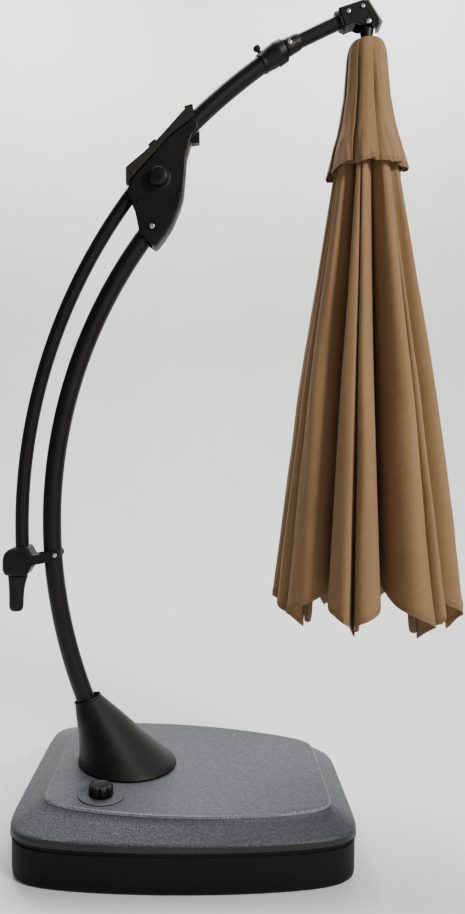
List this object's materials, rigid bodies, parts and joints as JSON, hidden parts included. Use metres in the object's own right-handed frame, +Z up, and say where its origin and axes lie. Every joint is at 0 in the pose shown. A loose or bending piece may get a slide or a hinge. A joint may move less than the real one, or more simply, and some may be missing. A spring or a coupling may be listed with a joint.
{
  "type": "cantilever parasol",
  "caption": "Cantilever parasol with a curved swivelling mast, a sliding curved arm, a folded hanging canopy and a fillable base.",
  "frame": {"origin": "on the floor, where the mast's vertical swivel axis meets the underside of the base", "axes": "+X from the mast towards the hanging canopy, +Z up, +Y to the far side; the parasol is built in the plane y = 0"},
  "size_m": [1.3767, 0.8, 2.4515],
  "materials": {
    "powder_coat": "satin black powder coat",
    "black_plastic": "matt black moulded plastic",
    "cover_plastic": "matt dark grey moulded plastic",
    "base_plastic": "grained dark grey blow-moulded plastic",
    "steel": "zinc-plated steel",
    "aluminium": "cast aluminium",
    "nylon": "natural nylon",
    "fabric": "tan woven polyester",
    "cord": "white braided cord"
  },
  "bodies": {
    "base": {"base_tank": "base_plastic", "base_cover": "base_plastic", "swivel_spindle": "steel", "thrust_washer": "nylon", "filler_neck": "black_plastic"},
    "filler": {"filler_cap": "black_plastic"},
    "drain": {"drain_plug": "black_plastic"},
    "mast": {"swivel_socket": "steel", "collar": "black_plastic", "mast_tube": "powder_coat", "mast_head": "aluminium", "housing_near": "black_plastic", "housing_far": "black_plastic", "housing_cover": "cover_plastic", "mast_bolt": "steel", "shell_bolt_1": "steel", "shell_bolt_2": "steel", "guide_tube": "powder_coat", "guide_bush_lower": "nylon", "guide_bush_upper": "nylon", "coupling_cuff": "black_plastic"},
    "knob": {"lock_knob": "black_plastic"},
    "trigger": {"release_trigger": "black_plastic"},
    "plunger": {"index_plunger": "black_plastic"},
    "arm": {"arm_tube": "powder_coat", "arm_stop_sleeve": "black_plastic", "elbow_head": "black_plastic", "elbow_end_cap": "cover_plastic", "pulley_axle": "steel", "hang_screw_near": "steel", "hang_screw_far": "steel", "handle_bracket": "black_plastic", "handle_grip": "black_plastic", "guide_pad_near": "nylon", "guide_pad_far": "nylon", "lift_cord_arm": "cord"},
    "pulley_wheel": {"pulley": "nylon"},
    "canopy": {"neck_yoke": "black_plastic", "rib_hub": "black_plastic", "canopy_pole": "powder_coat", "runner": "black_plastic", "canopy_fabric": "fabric", "vent_fabric": "fabric", "lift_cord_canopy": "cord", "rib_1": "powder_coat", "rib_2": "powder_coat", "rib_3": "powder_coat", "rib_4": "powder_coat", "rib_5": "powder_coat", "rib_6": "powder_coat", "rib_7": "powder_coat", "rib_8": "powder_coat", "strut_1": "powder_coat", "strut_2": "powder_coat", "strut_3": "powder_coat", "strut_4": "powder_coat", "strut_5": "powder_coat", "strut_6": "powder_coat", "strut_7": "powder_coat", "strut_8": "powder_coat"}
  },
  "joints": [
    {"name": "mast_swivel", "type": "hinge", "parent": "base", "child": "mast", "pos_m": [0, 0, 0.178], "axis": [0, 0, 1], "continuous": true},
    {"name": "arm_slide", "type": "hinge", "parent": "mast", "child": "arm", "pos_m": [1.358, 0, 0.896], "axis": [0, 1, 0], "range_deg": [0, 34]},
    {"name": "canopy_hang", "type": "hinge", "parent": "arm", "child": "canopy", "pos_m": [0.713, 0, 2.385], "axis": [0, 1, 0], "range_deg": [-34.1, 0.1]},
    {"name": "lock_knob_turn", "type": "hinge", "parent": "mast", "child": "knob", "pos_m": [0.1, 0, 1.9475], "axis": [0, -1, 0], "range_deg": [-180, 0]},
    {"name": "trigger_pull", "type": "hinge", "parent": "mast", "child": "trigger", "pos_m": [0.2125, 0, 2.0905], "axis": [0, -1, 0], "range_deg": [0, 14], "stiffness_Nm_per_rad": 0.6, "springref_deg": -17.19},
    {"name": "plunger_pull", "type": "slide", "parent": "mast", "child": "plunger", "axis": [-0.5563, 0, 0.831], "range_m": [0, 0.008], "stiffness_N_per_m": 400, "springref_m": -0.004},
    {"name": "filler_cap_turn", "type": "hinge", "parent": "base", "child": "filler", "pos_m": [-0.048, -0.231, 0.177], "axis": [0, 0, 1], "range_deg": [0, 360]},
    {"name": "drain_plug_turn", "type": "hinge", "parent": "base", "child": "drain", "pos_m": [-0.287, -0.12, 0.05], "axis": [-1, 0, 0], "range_deg": [0, 360]},
    {"name": "pulley_spin", "type": "hinge", "parent": "arm", "child": "pulley_wheel", "pos_m": [0.6965, 0, 2.43], "axis": [0, 1, 0], "continuous": true}
  ],
  "couplings": [
    {"joint": "canopy_hang", "follows": "arm_slide", "ratio": -1}
  ]
}
